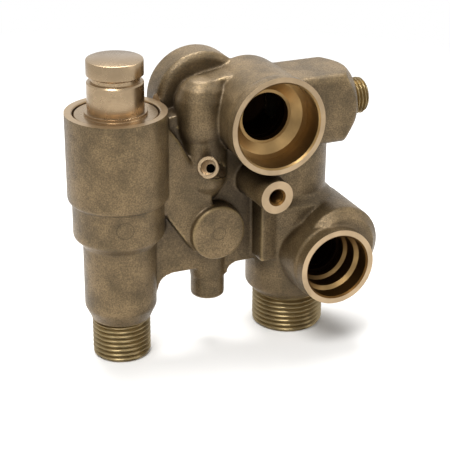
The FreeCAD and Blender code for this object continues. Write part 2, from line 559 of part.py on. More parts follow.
def make_lower_guide():
    """Three-legged guide pressed into the lower seat."""
    parts = [turned("guide_rim_ring", [
        ("seat_bore_rad - guide_rim", "guide_foot"), ("seat_bore_rad", "guide_foot"),
        ("seat_bore_rad", "guide_foot + guide_len"),
        ("seat_bore_rad - guide_rim", "guide_foot + guide_len")])]
    parts.append(rod("guide_hub", "guide_hub_rad", "guide_len", UPRIGHT, ("0", "0", "guide_foot")))
    for number in range(3):
        leg = doc.addObject("Part::Box", f"guide_leg_{number + 1}")
        bind(leg, Length="seat_bore_rad - guide_rim / 2", Width="guide_leg", Height="guide_len")
        turn = Rotation(Vector(0, 0, 1), 120 * number)
        side = turn.multVec(Vector(0, -0.5, 0))
        place(leg, turn, (f"{side.x:.4f} * guide_leg", f"{side.y:.4f} * guide_leg", "guide_foot"))
        parts.append(leg)
    bore = rod("guide_bore", "stem_rad + run_gap", "guide_len + 2 * over", UPRIGHT,
               ("0", "0", "guide_foot - over"))
    return cut("lower_guide", joined("guide_blank", parts), bore)


# Heights of the spool's stack, from the closed lower seat upwards
DISC_FOOT = "seat_shelf + seat_ring_len + lip_len + seat_gap"
PLATE_FOOT = f"{DISC_FOOT} + disc_len"
UPPER_DISC_TOP = "upper_seat_foot - lip_len - seat_gap - travel"
UPPER_DISC_FOOT = f"{UPPER_DISC_TOP} - disc_len"
SPRING_CLIP = "spring_foot - washer_len - clip_len"


def make_stem():
    """Turned stem with a collar over the upper disc and three clip grooves."""
    corners = [("0", "stem_foot"), ("stem_rad - stem_edge", "stem_foot"),
               ("stem_rad", "stem_foot + stem_edge")]
    for foot in (f"{DISC_FOOT} - clip_len", None, SPRING_CLIP, "magnet_foot + magnet_len"):
        if foot is None:
            corners += [("stem_rad", UPPER_DISC_TOP), ("collar_rad", UPPER_DISC_TOP),
                        ("collar_rad", f"{UPPER_DISC_TOP} + collar_len"),
                        ("stem_rad", f"{UPPER_DISC_TOP} + collar_len")]
            continue
        corners += [("stem_rad", foot), ("stem_rad - clip_neck", foot),
                    ("stem_rad - clip_neck", f"{foot} + clip_len"),
                    ("stem_rad", f"{foot} + clip_len")]
    corners += [("stem_rad", "stem_top - stem_edge"), ("stem_rad - stem_edge", "stem_top"),
                ("0", "stem_top")]
    return turned("stem", corners)


def washer_on_stem(name, outer, foot, tall, edge="plate_edge"):
    """A turned ring on the stem with eased outer edges."""
    return turned(name, [
        ("stem_rad", foot), (f"{outer} - {edge}", foot), (outer, f"{foot} + {edge}"),
        (outer, f"{foot} + {tall} - {edge}"), (f"{outer} - {edge}", f"{foot} + {tall}"),
        ("stem_rad", f"{foot} + {tall}")])


def make_spool():
    """Rubber discs, their backing plates and the sleeve between them."""
    return [
        washer_on_stem("lower_disc", "disc_rad", DISC_FOOT, "disc_len", "disc_edge"),
        washer_on_stem("lower_disc_plate", "plate_rad", PLATE_FOOT, "plate_len"),
        turned("spacer_sleeve", [
            ("stem_rad", f"{PLATE_FOOT} + plate_len"), ("sleeve_rad", f"{PLATE_FOOT} + plate_len"),
            ("sleeve_rad", f"{UPPER_DISC_FOOT} - plate_len"),
            ("stem_rad", f"{UPPER_DISC_FOOT} - plate_len")]),
        washer_on_stem("upper_disc_plate", "plate_rad", f"{UPPER_DISC_FOOT} - plate_len",
                       "plate_len"),
        washer_on_stem("upper_disc", "disc_rad", UPPER_DISC_FOOT, "disc_len", "disc_edge")]


def make_stem_clips():
    """Three E-clips in the stem's grooves, as one group of separate solids."""
    clips = []
    levels = (f"{DISC_FOOT} - clip_len", SPRING_CLIP, "magnet_foot + magnet_len")
    for number, foot in enumerate(levels, start=1):
        ring = turned(f"clip_blank_{number}", [
            ("stem_rad - clip_neck", foot), ("clip_ring_rad", foot),
            ("clip_ring_rad", f"{foot} + clip_len"), ("stem_rad - clip_neck", f"{foot} + clip_len")])
        mouth = block(f"clip_opening_{number}", ("2 * clip_ring_rad", "clip_mouth", "2 * clip_len"),
                      ("0", "-clip_mouth / 2", f"{foot} - clip_len / 2"))
        clips.append(cut(f"clip_{number}", ring, mouth))
    group = doc.addObject("Part::Compound", "stem_clips")
    group.Links = clips
    return group


def make_spring_seat():
    """Cupped washer that carries the spring on the stem."""
    return turned("spring_seat", [
        ("stem_rad", "spring_foot - washer_len"), ("washer_rad", "spring_foot - washer_len"),
        ("washer_rad", "spring_foot"), ("spring_rad - spring_wire - spring_play", "spring_foot"),
        ("spring_rad - spring_wire - spring_play", "spring_foot + washer_rise"),
        ("stem_rad", "spring_foot + washer_rise")])


def make_spring():
    """Return spring: an open coil between two closed end turns."""
    top = "neck_top - neck_wall"
    coil = doc.addObject("Part::Helix", "spring_path")
    bind(coil, Radius="spring_rad", Height=f"{top} - spring_foot - 2 * spring_wire",
         Pitch=f"({top} - spring_foot - 2 * spring_wire) / spring_turns")
    place(coil, UPRIGHT, ("0", "0", "spring_foot + spring_wire"))
    doc.recompute()
    wire = doc.addObject("Part::Circle", "spring_section")
    bind(wire, Radius="spring_wire")
    wire.Placement = Placement(Vector(), Rotation(Vector(1, 0, 0), 90))
    for axis, text in zip("xyz", ("spring_rad", "0", "spring_foot + spring_wire")):
        wire.setExpression(f"Placement.Base.{axis}", bound(text))
    sweep = doc.addObject("Part::Sweep", "spring_coil")
    sweep.Sections = [wire]
    sweep.Spine = (coil, [])
    sweep.Solid = True
    sweep.Frenet = True
    ends = []
    for name, level in (("lower", "spring_foot + spring_wire"), ("upper", f"{top} - spring_wire")):
        ring = doc.addObject("Part::Torus", f"spring_{name}_turn")
        bind(ring, Radius1="spring_rad", Radius2="spring_wire - spring_ease")
        ends.append(place(ring, UPRIGHT, ("0", "0", level)))
    return joined("return_spring", [sweep, *ends])


def make_magnet():
    """Ring magnet that the sensor on the neck reads."""
    return washer_on_stem("magnet", "magnet_rad", "magnet_foot", "magnet_len", "magnet_edge")


def make_nipple():
    """Turned sensing nipple pressed into the duct."""
    tube = nipple_rod("nipple_tube", "nipple_rad", "nipple_step", "nipple_len + nipple_root")
    collar = nipple_rod("nipple_collar", "nipple_collar_rad", "0", "nipple_collar_len")
    bore = nipple_rod("nipple_bore", "nipple_bore_rad", "-over",
                      "nipple_len + nipple_root + over")
    mouth = nipple_rod("nipple_mouth", "nipple_mouth_rad", "-over", "nipple_mouth_len")
    return cut("sensing_nipple", joined("nipple_blank", [tube, collar]),
               joined("nipple_hollow", [bore, mouth]))


pieces = [
    make_valve_body(), make_gland(),
    make_ring_seal("gland_o_ring", "gland_bore_rad - 2 * seal_wire", "gland_bore_rad",
                   "gland_seal_z"),
    make_guide_bush(), *make_seats(),
    make_ring_seal("lower_seat_o_ring", "cage_bore_rad - 2 * seat_wire", "cage_bore_rad",
                   "seat_shelf + seat_ring_len / 2"),
    make_ring_seal("upper_seat_o_ring", "cage_bore_rad - 2 * seat_wire", "cage_bore_rad",
                   "upper_seat_foot + upper_seat_len / 2"),
    make_cage(), make_snap_ring(), make_lower_guide(), make_stem(), *make_spool(),
    make_stem_clips(), make_spring_seat(), make_spring(), make_magnet(), make_nipple()]
doc.recompute()

for item in doc.Objects:
    if {"Invalid", "Error"} & set(item.State):
        raise RuntimeError(f"{item.Label} failed: {item.State}")
for piece in pieces:
    if piece.Shape.isNull() or not piece.Shape.isValid():
        raise RuntimeError(f"{piece.Label} has no valid shape")

os.makedirs("parts", exist_ok=True)
for piece in pieces:
    piece.Shape.exportStep(f"parts/{piece.Label}.step")
    print(f"{piece.Label}: {len(piece.Shape.Solids)} solid, {piece.Shape.Volume:.0f} mm3")
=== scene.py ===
"""Diverter valve: the dressed model of a brass boiler valve, laid out as an add-on."""

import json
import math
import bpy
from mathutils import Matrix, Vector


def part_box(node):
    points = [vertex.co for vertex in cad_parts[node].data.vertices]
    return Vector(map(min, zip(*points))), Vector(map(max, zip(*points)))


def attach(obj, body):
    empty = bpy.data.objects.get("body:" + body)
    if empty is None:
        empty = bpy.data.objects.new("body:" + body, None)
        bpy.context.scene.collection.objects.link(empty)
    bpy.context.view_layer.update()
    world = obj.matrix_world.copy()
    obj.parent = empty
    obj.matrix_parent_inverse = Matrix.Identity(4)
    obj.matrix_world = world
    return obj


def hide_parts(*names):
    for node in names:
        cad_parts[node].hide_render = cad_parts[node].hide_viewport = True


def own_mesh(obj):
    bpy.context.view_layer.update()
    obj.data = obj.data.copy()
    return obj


bl_info = {
    "name": "Diverter Valve",
    "version": (1, 0, 0),
    "blender": (4, 5, 0),
    "location": "3D View > Sidebar > Valve",
    "description": "Builds a cast brass diverter valve around its construction model",
    "category": "Add Mesh",
}

from collections import namedtuple

import bmesh
import bpy
from mathutils import Matrix, Vector

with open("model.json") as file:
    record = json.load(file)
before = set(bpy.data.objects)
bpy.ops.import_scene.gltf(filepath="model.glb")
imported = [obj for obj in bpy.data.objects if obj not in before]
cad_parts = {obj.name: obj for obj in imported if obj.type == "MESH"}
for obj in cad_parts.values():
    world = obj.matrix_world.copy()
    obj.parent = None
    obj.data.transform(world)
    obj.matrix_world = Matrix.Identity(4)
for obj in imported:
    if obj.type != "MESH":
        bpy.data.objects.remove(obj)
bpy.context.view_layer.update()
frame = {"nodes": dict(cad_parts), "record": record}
MOUNTS = {mount["name"]: mount for mount in frame["record"]["mounts"]}
MM = 0.001
FULL_TURN = 2 * math.pi

UP = Matrix()
BACKWARD = Matrix.Rotation(math.radians(-90), 4, "X")   # local Z along +Y, into the front ports
FORWARD = Matrix.Rotation(math.radians(90), 4, "X")     # local Z along -Y, into the rear port
RIGHTWARD = Matrix.Rotation(math.radians(90), 4, "Y")   # local Z along +X
LEFTWARD = RIGHTWARD @ Matrix.Rotation(math.pi, 4, "X")  # local Z along -X

# Sizes of the construction model that its record doesn't give, in millimetres
UPPER_FACE, LOWER_FACE, REAR_FACE = 25, 30, 14.5
HEAD_RADIUS, GLAND_LENGTH, GLAND_BORE = 17.54, 9.2, 15.04
BRANCH_END, STUB_LENGTH = 83.5, 7.95
BOSS_X, BOSS_Z = 33.75, 45.2
DUCT_X, DUCT_Y = 30.4, -2.6

# A wave texture of scale 1 repeats at this distance
WAVE_PERIOD = 0.314

# Material slots of the cutting tool after faced brass, which is its slot 0; on the casting each
# is one slot later, because the cast skin comes first
BORED, OXIDE_AND_SHADE, STAIN_AND_SHADE = 1, 2, 3

# A machined place: the spot on its face and the turn that lays Z into it, the radius that is
# faced, the radius of its rim, the socket's profile, the finishes along it and the length of
# the cast way beyond it
Port = namedtuple("Port", "spot turn facing rim socket finishes way")


def size(name, description, mm):
    """A length setting of the scene."""
    return bpy.props.FloatProperty(
        name=name, description=description, default=mm * MM, unit="LENGTH", precision=5)


def colour(name, description, code):
    """An sRGB hex colour setting of the scene."""
    return bpy.props.StringProperty(name=name, description=description, default=code)


class DiverterSizes(bpy.types.PropertyGroup):
    """Sizes that the construction model's record doesn't give."""

    thread_pitch: size("Leg thread pitch", "Pitch of both leg threads", 1.814)
    stub_pitch: size("Stub thread pitch", "Pitch of the side stub's thread", 1.337)
    thread_lead: size("Thread lead", "Chamfer at a thread's open end", 0.8)
    left_root: size("Left thread length", "Height where the left leg's casting starts", 14.9)
    right_root: size("Right thread length", "Height where the right leg's casting starts", 14.4)
    voxel: size("Casting voxel", "Voxel that the casting is remeshed with", 0.56)
    swell: size("Casting swell", "Growth that makes up for what smoothing takes off", 0.2)
    mouth_chamfer: size("Mouth chamfer", "Chamfer at each port's mouth", 0.6)
    neck_edge: size("Neck edge", "Rounding of the neck's edges", 0.45)
    groove_foot: size("Clip groove foot", "Lower edge of the clip groove", 103.15)
    groove_top: size("Clip groove top", "Upper edge of the clip groove", 105.55)
    groove_radius: size("Clip groove radius", "Radius at the bottom of the clip groove", 8.5)
    casting_passes: bpy.props.IntProperty(
        name="Casting passes", description="Smoothing passes that round the casting's corners",
        default=4, min=0)
    keep: bpy.props.FloatProperty(
        name="Kept share", description="Share of the casting's triangles kept after smoothing",
        default=0.4, min=0.05, max=1)


class DiverterColours(bpy.types.PropertyGroup):
    """Finish colours as sRGB hex values."""

    cast_brass: colour("Cast brass", "Shot-blasted casting skin", "#725F42")
    cast_shade: colour("Cast brass, shaded", "Browner patches of the skin", "#55462E")
    # Oxide colour, which also paints shade into the casting's hollows and creases
    cast_dark: colour("Oxide", "Oxide in the casting's hollows", "#2E2212")
    # Pale colour for rubbed ridges, which also paints a highlight along them
    cast_light: colour("Rubbed brass", "Ridges rubbed bright by handling", "#C9AE78")
    turned_brass: colour("Turned brass", "Fresh machined faces", "#A79174")
    # Darker than turned brass as painted shade between the thread's flanks
    thread_brass: colour("Thread brass", "Cut threads, dulled between the crests", "#8F7E5C")
    # Darker than faced brass: painted shade inside the machined bores
    bore_brass: colour("Bored brass", "Machined bores", "#8F744C")
    # Bores browned by water, darkened further as painted shade
    stain_and_shade_brass: colour("Stained brass", "Bores browned by the water", "#5E4322")
    # Near-black: oxide of the waterways, with painted shade for their depth
    deep_brass: colour("Deep bores", "Oxidised waterways beyond the machined bores", "#20140A")
    rubber: colour("Seal rubber", "EPDM seals", "#1B1B1B")
    acetal: colour("Acetal", "Guide bush, cage and lower guide", "#D9D5CB")
    steel: colour("Stainless steel", "Stem, spring and clips", "#B9B9B6")
    ferrite: colour("Ferrite", "Ring magnet", "#2B2B2C")
    floor: colour("Floor", "Pale studio floor", "#F4F3F1")


def linear(code):
    """sRGB hex to a linear RGBA colour."""
    channels = [int(code[start:start + 2], 16) / 255 for start in (1, 3, 5)]
    return [c / 12.92 if c <= 0.04045 else ((c + 0.055) / 1.055) ** 2.4 for c in channels] + [1.0]


def sizes():
    """The scene's sizes, in metres."""
    return bpy.context.scene.diverter_sizes


def hexes():
    """The scene's colours."""
    return bpy.context.scene.diverter_colours


# Meshes


def revolve(bm, profile, turn=UP, spot=(0, 0, 0), steps=128, finishes=()):
    """Turn a closed profile of (radius, height) corners in millimetres about its own Z.
    Each (height, index) of the finishes gives what lies beyond that height its material."""
    shape = bmesh.new()
    corners = [shape.verts.new((radius * MM, 0, height * MM)) for radius, height in profile]
    edges = [shape.edges.new(pair) for pair in zip(corners, corners[1:] + corners[:1])
             if max(corner.co.x for corner in pair) > 0]
    bmesh.ops.spin(shape, geom=corners + edges, cent=(0, 0, 0), axis=(0, 0, 1),
                   angle=FULL_TURN, steps=steps, use_merge=True)
    bmesh.ops.remove_doubles(shape, verts=shape.verts, dist=1e-6)
    bmesh.ops.dissolve_degenerate(shape, dist=1e-7, edges=shape.edges)
    bmesh.ops.recalc_face_normals(shape, faces=shape.faces)
    for face in shape.faces:
        middle = face.calc_center_median().z
        for height, index in finishes:
            if middle > height * MM:
                face.material_index = index
    bmesh.ops.transform(shape, matrix=Matrix.Translation(spot) @ turn, verts=shape.verts)
    blank = bpy.data.meshes.new("blank")
    shape.to_mesh(blank)
    shape.free()
    bm.from_mesh(blank)
    bpy.data.meshes.remove(blank)


def new_piece(name, bm, materials, sharp=30):
    """Make an object of a bmesh, shaded smooth with its corners kept sharp."""
    mesh = bpy.data.meshes.new(name)
    bm.to_mesh(mesh)
    bm.free()
    for material in materials:
        mesh.materials.append(material)
    mesh.shade_smooth()
    mesh.set_sharp_from_angle(angle=math.radians(sharp))
    piece = bpy.data.objects.new(name, mesh)
    bpy.context.scene.collection.objects.link(piece)
    return piece


def bake(piece):
    """Apply a piece's modifiers to its mesh."""
    baked = bpy.data.meshes.new_from_object(
        piece.evaluated_get(bpy.context.evaluated_depsgraph_get()))
    old = piece.data
    piece.modifiers.clear()
    piece.data = baked
    bpy.data.meshes.remove(old)


def settle(piece, body, finish, *nodes):
    """Put a finished piece on its body, in place of the nodes that it stands for."""
    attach(piece, body)
    if nodes:
        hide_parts(*nodes)


def mount_place(name):
    """Position of one of the valve's mounts, and its radius in millimetres."""
    mount = MOUNTS[name]
    return Vector(mount["pos_m"]), mount["dims"]["r_mm"]


def gland_rim():
    """Height of the left head's rim in millimetres."""
    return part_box("gland")[0].z / MM + GLAND_LENGTH


# Materials


def add_node(tree, kind, inputs=None, stops=(), **settings):
    """Add a shader node with its settings; each of its inputs takes a link or a plain value,
    and a colour ramp takes its (position, colour) stops."""
    node = tree.nodes.new(kind)
    for name, value in settings.items():
        setattr(node, name, value)
    for name, value in (inputs or {}).items():
        if isinstance(value, bpy.types.NodeSocket):
            tree.links.new(value, node.inputs[name])
        else:
            node.inputs[name].default_value = value
    for _ in stops[2:]:
        node.color_ramp.elements.new(0.5)
    for number, (position, shade) in enumerate(stops):
        node.color_ramp.elements[number].position = position
        node.color_ramp.elements[number].color = shade
    return node


def new_material(name):
    """A node material with its shader and output, and the place of each point on the object."""
    material = bpy.data.materials.new(name)
    material.use_nodes = True
    tree = material.node_tree
    tree.nodes.clear()
    shader = add_node(tree, "ShaderNodeBsdfPrincipled")
    add_node(tree, "ShaderNodeOutputMaterial", {"Surface": shader.outputs["BSDF"]})
    place = add_node(tree, "ShaderNodeTexCoord").outputs["Object"]
    return material, tree, shader, place


def pattern_scale(mm):
    """The scale at which a pattern's largest features are about so many millimetres across."""
    return 1 / (mm * MM)


def grey(level):
    """A neutral colour."""
    return (level, level, level, 1)


def shaded(shade, share):
    """A colour darkened to a share of its light."""
    return [channel * share for channel in shade[:3]] + [1]


def shot_blasted_cast_brass():
    """Sand-cast and shot-blasted brass: a dull olive skin with a fine grain, rubbed pale on its
    ridges with a painted highlight along them, and brown with oxide and painted shade in its
    hollows."""
    material, tree, shader, place = new_material("shot_blasted_cast_brass")
    codes = hexes()
    # One dark colour for oxide and for painted shade in hollows and creases
    oxide_and_shade = linear(codes.cast_dark)
    # Grit of the blasting, pits of the sand and patches of oxide, by the size of their features
    # in millimetres; the real grit is finer, and is drawn at half a millimetre so that it shows
    grit, pits, patches = [
        add_node(tree, "ShaderNodeTexNoise", {
            "Vector": place, "Scale": pattern_scale(feature), "Detail": detail,
            "Roughness": roughness}).outputs["Fac"]
        for feature, detail, roughness in ((0.5, 3.0, 0.6), (2.4, 4.0, 0.62), (11, 4.0, 0.6))]
    ridge = add_node(tree, "ShaderNodeNewGeometry").outputs["Pointiness"]
    # Ambient occlusion, read to paint shade where little open sky is seen
    open_sky = add_node(tree, "ShaderNodeAmbientOcclusion", {"Distance": 9 * MM}, samples=6)

    skin = add_node(tree, "ShaderNodeValToRGB", {"Fac": patches}, [
        (0.38, linear(codes.cast_shade)), (0.62, linear(codes.cast_brass))]).outputs["Color"]
    speckle = add_node(tree, "ShaderNodeValToRGB", {"Fac": grit}, [
        (0.3, grey(0.62)), (0.5, grey(1.0)), (0.72, grey(1.5))]).outputs["Color"]
    skin = add_node(tree, "ShaderNodeMix", {"Factor": 1.0, "A": skin, "B": speckle},
                    data_type="RGBA", blend_type="MULTIPLY").outputs["Result"]
    # Layers over the skin: a painted highlight on ridges that also stands for rubbed wear, oxide
    # with painted shade in creases, and oxide with painted shade where little open sky is seen
    layers = [(ridge, [(0.52, grey(0)), (0.60, grey(0.8))], linear(codes.cast_light)),
              (ridge, [(0.40, grey(0.9)), (0.485, grey(0))], oxide_and_shade),
              (open_sky.outputs["AO"], [(0.35, grey(0.9)), (0.95, grey(0))], oxide_and_shade)]
    # Ejector marks: faint rings on the blind boss and the left chamber. A ramp runs from 0 to 1,
    # so their radius is in centimetres
    for centre, ring_cm in (((BOSS_X, -11.2, BOSS_Z), 0.24), ((-3.1, -15.7, 54.4), 0.3)):
        away = add_node(tree, "ShaderNodeVectorMath", {0: place, 1: Vector(centre) * MM},
                        operation="DISTANCE").outputs["Value"]
        away_cm = add_node(tree, "ShaderNodeMath", {0: away, 1: 0.1 / MM}, operation="MULTIPLY")
        layers.append((away_cm.outputs[0], [(ring_cm - 0.03, grey(0)), (ring_cm, grey(0.6)),
                                            (ring_cm + 0.03, grey(0))], oxide_and_shade))
    for measure, stops, shade in layers:
        share = add_node(tree, "ShaderNodeValToRGB", {"Fac": measure}, stops).outputs["Color"]
        skin = add_node(tree, "ShaderNodeMix", {"Factor": share, "A": skin, "B": shade},
                        data_type="RGBA").outputs["Result"]
    tree.links.new(skin, shader.inputs["Base Color"])
    shader.inputs["Metallic"].default_value = 0.5
    dullness = add_node(tree, "ShaderNodeValToRGB", {"Fac": grit}, [
        (0.35, grey(0.52)), (0.7, grey(0.32))]).outputs["Color"]
    tree.links.new(dullness, shader.inputs["Roughness"])
    coarse = add_node(tree, "ShaderNodeBump", {
        "Height": pits, "Strength": 0.4, "Distance": 0.2 * MM}).outputs[0]
    fine = add_node(tree, "ShaderNodeBump", {
        "Height": grit, "Normal": coarse, "Strength": 0.8, "Distance": 0.12 * MM}).outputs[0]
    tree.links.new(fine, shader.inputs["Normal"])
    return material


def turned_brass(name, code, turn=UP, spot=(0, 0, 0), mark_mm=0.35, roughness=0.24):
    """Turned brass: polished pale gold, with fine tool marks that draw its highlights round the
    lathe's axis. Real marks are finer, and are drawn a third of a millimetre apart or so."""
    material, tree, shader, place = new_material(name)
    # The mapping lays the lathe's axis along Z, so that rings run round it
    lathe = (Matrix.Translation(spot) @ turn).inverted()
    centred = add_node(tree, "ShaderNodeMapping", {
        "Vector": place, "Location": lathe.to_translation(), "Rotation": lathe.to_euler()})
    waves = {"Vector": centred.outputs[0], "Scale": WAVE_PERIOD * pattern_scale(mark_mm)}
    rings = add_node(tree, "ShaderNodeTexWave", {**waves, "Distortion": 0.6},
                     wave_type="RINGS", rings_direction="Z").outputs["Fac"]
    bands = add_node(tree, "ShaderNodeTexWave", {**waves, "Distortion": 0.4},
                     wave_type="BANDS", bands_direction="Z").outputs["Fac"]
    marks = add_node(tree, "ShaderNodeMath", {0: rings, 1: bands}, operation="ADD").outputs[0]
    stain = add_node(tree, "ShaderNodeTexNoise", {
        "Vector": place, "Scale": pattern_scale(9), "Detail": 3.0, "Roughness": 0.6,
    }).outputs["Fac"]
    base = linear(code)
    tint = add_node(tree, "ShaderNodeValToRGB", {"Fac": stain}, [
        (0.32, shaded(base, 0.8)), (0.6, base)]).outputs["Color"]
    dullness = add_node(tree, "ShaderNodeValToRGB", {"Fac": stain}, [
        (0.3, grey(roughness + 0.12)), (0.7, grey(roughness))]).outputs["Color"]
    bump = add_node(tree, "ShaderNodeBump", {
        "Height": marks, "Strength": 0.12, "Distance": 0.03 * MM}).outputs[0]
    shader.inputs["Metallic"].default_value = 1.0
    tree.links.new(tint, shader.inputs["Base Color"])
    tree.links.new(dullness, shader.inputs["Roughness"])
    tree.links.new(bump, shader.inputs["Normal"])
    return material


def plain_finish(name, code, metallic, roughness, grain_mm, bump_mm):
    """Plain moulded, drawn or sintered surface with a fine grain of its own."""
    material, tree, shader, place = new_material(name)
    texture = add_node(tree, "ShaderNodeTexNoise", {
        "Vector": place, "Scale": pattern_scale(grain_mm), "Detail": 3.0, "Roughness": 0.5,
    }).outputs["Fac"]
    base = linear(code)
    tint = add_node(tree, "ShaderNodeValToRGB", {"Fac": texture}, [
        (0.3, shaded(base, 0.8)), (0.7, base)]).outputs["Color"]
    dullness = add_node(tree, "ShaderNodeValToRGB", {"Fac": texture}, [
        (0.3, grey(roughness + 0.08)), (0.7, grey(roughness))]).outputs["Color"]
    bump = add_node(tree, "ShaderNodeBump", {
        "Height": texture, "Strength": 0.4, "Distance": bump_mm * MM}).outputs[0]
    shader.inputs["Metallic"].default_value = metallic
    tree.links.new(tint, shader.inputs["Base Color"])
    tree.links.new(dullness, shader.inputs["Roughness"])
    tree.links.new(bump, shader.inputs["Normal"])
    return material


def backdrop_rays(tree):
    """One for the rays that the backdrop shows to: camera, glossy and transmission rays."""
    path = add_node(tree, "ShaderNodeLightPath")
    seen = path.outputs["Is Camera Ray"]
    for kind in ("Is Glossy Ray", "Is Transmission Ray"):
        seen = add_node(tree, "ShaderNodeMath", {0: seen, 1: path.outputs[kind]},
                        operation="MAXIMUM").outputs[0]
    return seen


def matt_studio_floor():
    """Matt pale floor that keeps the valve's soft shadow and fades into the white backdrop."""
    material, tree, shader, place = new_material("matt_studio_floor")
    shader.inputs["Base Color"].default_value = linear(hexes().floor)
    shader.inputs["Roughness"].default_value = 0.9
    shader.inputs["Specular IOR Level"].default_value = 0.1
    away = add_node(tree, "ShaderNodeVectorMath", {"Vector": place}, operation="LENGTH")
    fade = add_node(tree, "ShaderNodeValToRGB", {"Fac": away.outputs["Value"]}, [
        (0.16, grey(0)), (0.42, grey(1))]).outputs["Color"]
    share = add_node(tree, "ShaderNodeMath", {0: fade, 1: backdrop_rays(tree)},
                     operation="MULTIPLY").outputs[0]
    white = add_node(tree, "ShaderNodeEmission", {"Color": (1, 1, 1, 1), "Strength": 1})
    blend = add_node(tree, "ShaderNodeMixShader", {
        0: share, 1: shader.outputs["BSDF"], 2: white.outputs[0]})
    output = next(node for node in tree.nodes if node.type == "OUTPUT_MATERIAL")
    tree.links.new(blend.outputs[0], output.inputs["Surface"])
    return material


def studio_world(scene):
    """Soft even light, seen by the camera and by reflections as a white backdrop."""
    world = bpy.data.worlds.new("studio")
    scene.world = world
    world.use_nodes = True
    tree = world.node_tree
    tree.nodes.clear()
    white = (1, 1, 1, 1)
    soft = add_node(tree, "ShaderNodeBackground", {"Color": white, "Strength": 0.38})
    backdrop = add_node(tree, "ShaderNodeBackground", {"Color": white, "Strength": 1})
    blend = add_node(tree, "ShaderNodeMixShader", {
        0: backdrop_rays(tree), 1: soft.outputs[0], 2: backdrop.outputs[0]})
    add_node(tree, "ShaderNodeOutputWorld", {"Surface": blend.outputs[0]})


# The casting


def ports():
    """The machined places of the casting, their profiles in (radius, depth) corners."""
    edge = sizes().mouth_chamfer / MM
    upper, upper_mouth = mount_place("upper_port")
    lower, lower_mouth = mount_place("lower_port")
    rear, rear_mouth = mount_place("rear_port")
    screw, tap = mount_place("fixing_hole")
    # The fixing hole's tapped thread: rings at half a 0.8 mm pitch
    threads = [(tap + 0.3 * (crest % 2), 1.1 + 0.4 * crest) for crest in range(16)]
    # Deeper in each socket the finishes turn darker: stain and oxide, with painted shade for the
    # dark inside the bores
    return (
        Port((upper.x, -UPPER_FACE * MM, upper.z), BACKWARD, 18.5, 17.3, [
            (upper_mouth + edge, 0), (upper_mouth, edge), (upper_mouth, 9.2), (13.1, 9.2),
            (9.8, 11.65), (8.74, 11.65), (8.74, 14.5), (8.74, 17)],
            ((0.3, BORED), (11.7, STAIN_AND_SHADE), (14, OXIDE_AND_SHADE)), 16),
        Port((lower.x, -LOWER_FACE * MM, lower.z), BACKWARD, 17, 14.07, [
            (lower_mouth + edge, 0), (lower_mouth, edge), (lower_mouth, 6), (10.4, 7.27),
            (10.4, 12.5), (9.3, 13.6), (9.3, 17), (8.1, 17), (8.1, 20)],
            ((0.3, STAIN_AND_SHADE), (6.1, BORED), (7.3, STAIN_AND_SHADE), (12.7, BORED), (13.7, STAIN_AND_SHADE),
             (16.5, OXIDE_AND_SHADE)), 14),
        Port((rear.x, REAR_FACE * MM, rear.z), FORWARD, 20, 17, [
            (rear_mouth + edge, 0), (rear_mouth, edge), (rear_mouth, 6.5), (6, 8), (6, 14)],
            ((0.3, BORED), (8.5, OXIDE_AND_SHADE)), 8.5),
        Port((screw.x, -UPPER_FACE * MM, screw.z), BACKWARD, 7, 5.85, [
            (tap + 0.7, 0), (tap, 0.7), *threads, (tap, 12)], ((0.1, STAIN_AND_SHADE),), 1),
    )


def socket_profile(port):
    """Closed profile of a cutter: a facing disc in front of the face and the socket behind it."""
    front, deepest = -6, port.socket[-1][1]
    return [(0, front), (port.facing, front), (port.facing, 0), *port.socket, (0, deepest)]


def plug_profile(port):
    """Metal that fills a socket and stands a little proud, for the cutter to bite into. It ends
    short of the socket's depth, so that the cutter opens the way on."""
    proud, bite, short = 1.0, 0.8, 1.5
    end = port.socket[-1][1] - short
    fill = [(radius + bite, min(depth, end)) for radius, depth in port.socket if depth > 0]
    return [(0, -proud), (port.rim, -proud), (port.rim, bite / 2), *fill[1:], (0, end)]


def cast_metal():
    """The construction model's casting, with metal added where it is machined or swells."""
    rim = gland_rim()
    skin = bmesh.new()
    skin.from_mesh(frame["nodes"]["valve_body"].data)
    bmesh.ops.remove_doubles(skin, verts=skin.verts, dist=2e-6)
    for port in ports():
        revolve(skin, plug_profile(port), port.turn, port.spot)
    # The left head ends in a crisp ledge, and the blind boss stands clear of the brace
    revolve(skin, [(15, 60.4), (17, 60.4), (HEAD_RADIUS, 61.2), (HEAD_RADIUS, 68), (15, 68)])
    revolve(skin, [(0, 0), (9.5, 0), (10, 0.5), (10, 6), (0, 6)], BACKWARD,
            (BOSS_X * MM, -11 * MM, BOSS_Z * MM))
    # The duct swells under its crown
    revolve(skin, [(6, 79.8), (7.8, 79.8), (8.7, 82), (9.4, 85), (9.5, 89), (8.9, 94), (7.2, 98),
                   (4.4, 100.6), (0, 101.4), (0, 97.5), (6, 97)],
            spot=(DUCT_X * MM, DUCT_Y * MM, 0), steps=64)
    # The left head's rim, to be bored for the gland
    revolve(skin, [(14.3, rim - GLAND_LENGTH), (16.2, rim - GLAND_LENGTH), (16.2, rim - 2),
                   (HEAD_RADIUS, rim - 2), (HEAD_RADIUS, rim + 1), (14.3, rim + 1)])
    return skin


